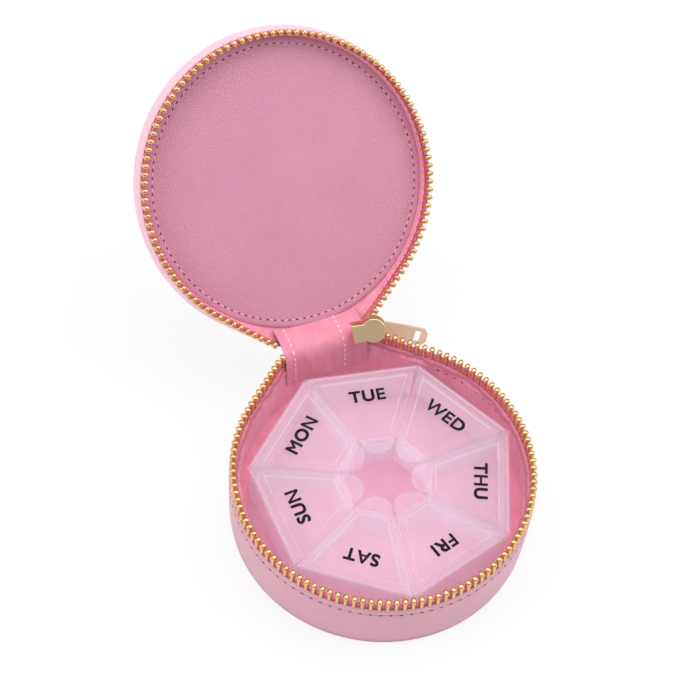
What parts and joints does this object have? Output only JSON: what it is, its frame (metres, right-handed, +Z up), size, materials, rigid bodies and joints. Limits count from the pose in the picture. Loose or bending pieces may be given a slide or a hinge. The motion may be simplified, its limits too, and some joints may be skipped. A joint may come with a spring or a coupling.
{
  "type": "round zip-around pill case with day tray",
  "caption": "Round zip-around leather-look case, lid open on a fabric hinge, holding a removable frosted day tray whose sectors have flip lids.",
  "frame": {"origin": "centre of the base's flat underside, on the surface it stands on", "axes": "+Z up, +Y from the middle of the base to the hinge, +X to the right seen from the front"},
  "size_m": [0.094, 0.1718, 0.0973],
  "materials": {
    "leather": "satin pink leather-look covering",
    "lining_twill": "matte mauve-pink twill over padding",
    "lining_satin": "soft pink satin",
    "zip_tape": "woven pink tape",
    "board": "grey card",
    "foam": "soft foam sheet",
    "gold_metal": "polished pale gold",
    "frosted_plastic": "translucent frosted"
  },
  "bodies": {
    "base": {"base_outer_panel": "leather", "base_board": "board", "base_foam": "foam", "base_inner_panel": "lining_twill", "base_side_wall": "leather", "base_wall_lining": "lining_satin", "base_zip_tape": "zip_tape", "base_zip_teeth": "gold_metal", "base_wall_board": "board", "hinge_cover": "leather", "hinge_lining": "lining_satin"},
    "case_lid": {"lid_outer_panel": "leather", "lid_board": "board", "lid_foam": "foam", "lid_inner_panel": "lining_twill", "lid_side_wall": "leather", "lid_wall_lining": "lining_satin", "lid_zip_tape": "zip_tape", "lid_zip_teeth": "gold_metal"},
    "zip_fold": {"zip_end_tapes": "zip_tape", "zip_end_teeth": "gold_metal", "zip_bottom_stop": "gold_metal", "zip_top_stops": "gold_metal"},
    "zip_slider": {"slider_body": "gold_metal", "slider_bridge": "gold_metal"},
    "pull_tab": {"pull_tab": "gold_metal"},
    "pill_tray": {"pill_tray": "frosted_plastic"},
    "day_lid_1": {"day_lid_1": "frosted_plastic"},
    "day_lid_2": {"day_lid_2": "frosted_plastic"},
    "day_lid_3": {"day_lid_3": "frosted_plastic"},
    "day_lid_4": {"day_lid_4": "frosted_plastic"},
    "day_lid_5": {"day_lid_5": "frosted_plastic"},
    "day_lid_6": {"day_lid_6": "frosted_plastic"},
    "day_lid_7": {"day_lid_7": "frosted_plastic"}
  },
  "joints": [
    {"name": "case_lid_hinge", "type": "hinge", "parent": "base", "child": "case_lid", "pos_m": [0, 0.0503, 0.027], "axis": [-1, 0, 0], "range_deg": [-133, 12], "deforming": ["hinge_cover", "hinge_lining"]},
    {"name": "zip_fold_hinge", "type": "hinge", "parent": "base", "child": "zip_fold", "pos_m": [0, 0.0485, 0.0282], "axis": [-1, 0, 0], "range_deg": [-44.91, 4.23], "deforming": ["zip_end_tapes"]},
    {"name": "zip_slider_travel", "type": "hinge", "parent": "zip_fold", "child": "zip_slider", "pos_m": [0, 0.0151, 0.05958], "axis": [0, 0.7035, 0.7107], "range_deg": [-322, 0]},
    {"name": "pull_tab_hinge", "type": "hinge", "parent": "zip_slider", "child": "pull_tab", "pos_m": [0.01488, 0.0505, 0.02453], "axis": [0.4645, 0.5167, 0.7192], "range_deg": [0, 60]},
    {"name": "tray_lift", "type": "slide", "parent": "base", "child": "pill_tray", "axis": [0, 0, 1], "range_m": [0, 0.045]},
    {"name": "day_lid_1_hinge", "type": "hinge", "parent": "pill_tray", "child": "day_lid_1", "pos_m": [-0.02317, 0.02855, 0.01895], "axis": [-0.7547, -0.6561, 0], "range_deg": [0, 100]},
    {"name": "day_lid_2_hinge", "type": "hinge", "parent": "pill_tray", "child": "day_lid_2", "pos_m": [0.00805, 0.03708, 0.01895], "axis": [-0.9835, 0.181, 0], "range_deg": [0, 100]},
    {"name": "day_lid_3_hinge", "type": "hinge", "parent": "pill_tray", "child": "day_lid_3", "pos_m": [0.03419, 0.01799, 0.01895], "axis": [-0.4717, 0.8818, 0], "range_deg": [0, 100]},
    {"name": "day_lid_4_hinge", "type": "hinge", "parent": "pill_tray", "child": "day_lid_4", "pos_m": [0.03556, -0.01434, 0.01895], "axis": [0.3953, 0.9185, 0], "range_deg": [0, 100]},
    {"name": "day_lid_5_hinge", "type": "hinge", "parent": "pill_tray", "child": "day_lid_5", "pos_m": [0.01113, -0.03558, 0.01895], "axis": [0.9646, 0.2636, 0], "range_deg": [0, 100]},
    {"name": "day_lid_6_hinge", "type": "hinge", "parent": "pill_tray", "child": "day_lid_6", "pos_m": [-0.0207, -0.02972, 0.01895], "axis": [0.8075, -0.5898, 0], "range_deg": [0, 100]},
    {"name": "day_lid_7_hinge", "type": "hinge", "parent": "pill_tray", "child": "day_lid_7", "pos_m": [-0.03596, -0.00118, 0.01895], "axis": [0.0424, -0.9991, 0], "range_deg": [0, 100]}
  ],
  "couplings": [
    {"joint": "zip_fold_hinge", "follows": "case_lid_hinge", "ratio": 0.33617}
  ]
}
